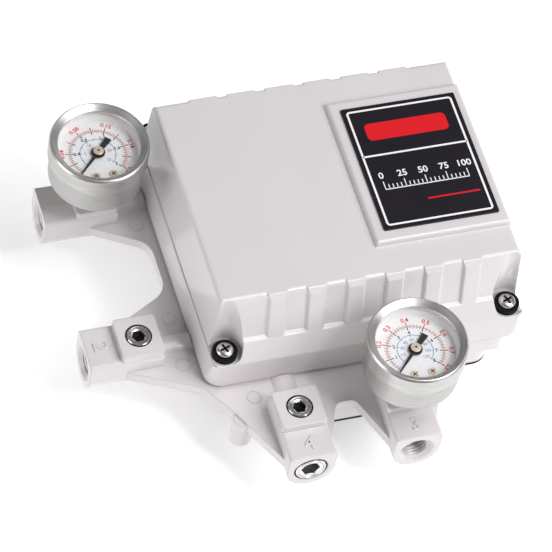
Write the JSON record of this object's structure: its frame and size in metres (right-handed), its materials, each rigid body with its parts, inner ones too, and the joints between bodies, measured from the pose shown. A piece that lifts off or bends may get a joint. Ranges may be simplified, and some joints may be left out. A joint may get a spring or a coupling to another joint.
{
  "type": "valve positioner",
  "caption": "Pneumatic valve positioner: cast body with ribbed lift-off cover, threaded port arms, dial gauges and a cam-fed force-balance mechanism.",
  "frame": {"origin": "on the rear mounting face, on the feedback shaft's axis at the centre of the rear bolt pattern", "axes": "+Z out of the rear face towards the cover's top, +X along the cover towards the name plate, -Y towards the output ports"},
  "size_m": [0.1842, 0.175, 0.0803],
  "materials": {
    "cast_paint": "light grey semi-gloss paint on die-cast metal",
    "black_rubber": "matt black rubber",
    "plate_black": "satin black printed plate",
    "bright_steel": "bright plated steel",
    "satin_steel": "turned satin steel",
    "machined_aluminium": "machined",
    "brass": "turned brass",
    "dial_white": "printed white dial",
    "pointer_black": "matt black paint",
    "clear_lens": "clear lens",
    "copper_tube": "drawn copper",
    "black_plastic": "moulded"
  },
  "bodies": {
    "base": {"base_housing": "cast_paint", "rear_gasket": "black_rubber", "cover_seal": "black_rubber", "signal_gauge_stem": "brass", "signal_gauge_case": "satin_steel", "signal_gauge_bezel": "bright_steel", "signal_gauge_lens": "clear_lens", "signal_gauge_dial": "dial_white", "signal_dial_screws": "brass", "signal_bourdon_tube": "brass", "signal_movement": "brass", "output_gauge_stem": "brass", "output_gauge_case": "satin_steel", "output_gauge_bezel": "bright_steel", "output_gauge_lens": "clear_lens", "output_gauge_dial": "dial_white", "output_dial_screws": "brass", "output_bourdon_tube": "brass", "output_movement": "brass", "gauge_port_plugs": "bright_steel", "output_port_plug": "bright_steel", "shaft_bushes": "brass", "shaft_seal": "black_rubber", "lever_pivot_pin": "satin_steel", "feedback_spring": "bright_steel", "beam_pivot_pin": "satin_steel", "signal_bellows": "brass", "bellows_bracket": "satin_steel", "nozzle": "brass", "zero_bracket": "satin_steel", "zero_spring": "bright_steel", "pilot_valve_body": "machined_aluminium", "pilot_valve_caps": "satin_steel", "pilot_valve_screws": "satin_steel", "signal_tube": "copper_tube", "nozzle_tube": "copper_tube", "port_tubes": "copper_tube", "exhaust_vent": "black_plastic"},
    "cover": {"front_cover": "cast_paint", "cover_nameplate": "plate_black", "cover_screws": "bright_steel", "cover_screw_washers": "black_rubber"},
    "feedback": {"feedback_shaft": "satin_steel", "shaft_retaining_ring": "satin_steel", "feedback_cam": "machined_aluminium", "cam_nut": "bright_steel"},
    "lever": {"feedback_lever": "machined_aluminium"},
    "roller": {"cam_roller": "satin_steel"},
    "beam": {"balance_beam": "machined_aluminium"},
    "spool": {"pilot_valve_spool": "satin_steel"},
    "zero_adjuster": {"zero_knob": "black_plastic"},
    "auto_manual": {"auto_manual_screw": "brass"},
    "signal_needle": {"signal_pointer": "pointer_black"},
    "signal_sector_gear": {"signal_sector": "brass"},
    "output_needle": {"output_pointer": "pointer_black"},
    "output_sector_gear": {"output_sector": "brass"}
  },
  "joints": [
    {"name": "cover_lift", "type": "slide", "parent": "base", "child": "cover", "axis": [0, 0, 1], "range_m": [0, 0.09]},
    {"name": "shaft_turn", "type": "hinge", "parent": "base", "child": "feedback", "pos_m": [0, 0, 0], "axis": [0, 0, 1], "range_deg": [-45, 45]},
    {"name": "lever_swing", "type": "hinge", "parent": "base", "child": "lever", "pos_m": [-0.046, 0.034, 0.0215], "axis": [0, 0, 1], "range_deg": [-6.3, 6.3], "deforming": ["feedback_spring"]},
    {"name": "roller_spin", "type": "hinge", "parent": "lever", "child": "roller", "pos_m": [0.004, 0.032, 0.0165], "axis": [0, 0, 1], "continuous": true},
    {"name": "beam_tilt", "type": "hinge", "parent": "base", "child": "beam", "pos_m": [0.046, 0.0105, 0.038], "axis": [0, 0, 1], "range_deg": [-0.2, 0.4], "deforming": ["zero_spring"]},
    {"name": "spool_slide", "type": "slide", "parent": "base", "child": "spool", "axis": [1, 0, 0], "range_m": [-0.002, 0.002]},
    {"name": "zero_turn", "type": "hinge", "parent": "base", "child": "zero_adjuster", "pos_m": [0.027, -0.02, 0.038], "axis": [0, 1, 0], "range_deg": [-170, 170]},
    {"name": "auto_manual_turn", "type": "hinge", "parent": "base", "child": "auto_manual", "pos_m": [-0.0234, -0.0404, 0.033], "axis": [0, 0, 1], "range_deg": [-90, 90]},
    {"name": "signal_pointer_turn", "type": "hinge", "parent": "base", "child": "signal_needle", "pos_m": [-0.0925, 0.0359, 0.0395], "axis": [0, 0, -1], "range_deg": [0, 270]},
    {"name": "signal_sector_turn", "type": "hinge", "parent": "base", "child": "signal_sector_gear", "pos_m": [-0.0925, 0.04766, 0.0395], "axis": [0, 0, 1], "range_deg": [0, 45]},
    {"name": "output_pointer_turn", "type": "hinge", "parent": "base", "child": "output_needle", "pos_m": [0.0087, -0.0854, 0.0395], "axis": [0, 0, -1], "range_deg": [0, 270]},
    {"name": "output_sector_turn", "type": "hinge", "parent": "base", "child": "output_sector_gear", "pos_m": [0.0087, -0.07364, 0.0395], "axis": [0, 0, 1], "range_deg": [0, 45]}
  ],
  "couplings": [
    {"joint": "lever_swing", "follows": "shaft_turn", "ratio": 0.14},
    {"joint": "signal_sector_turn", "follows": "signal_pointer_turn", "ratio": 0.16667},
    {"joint": "output_sector_turn", "follows": "output_pointer_turn", "ratio": 0.16667}
  ]
}
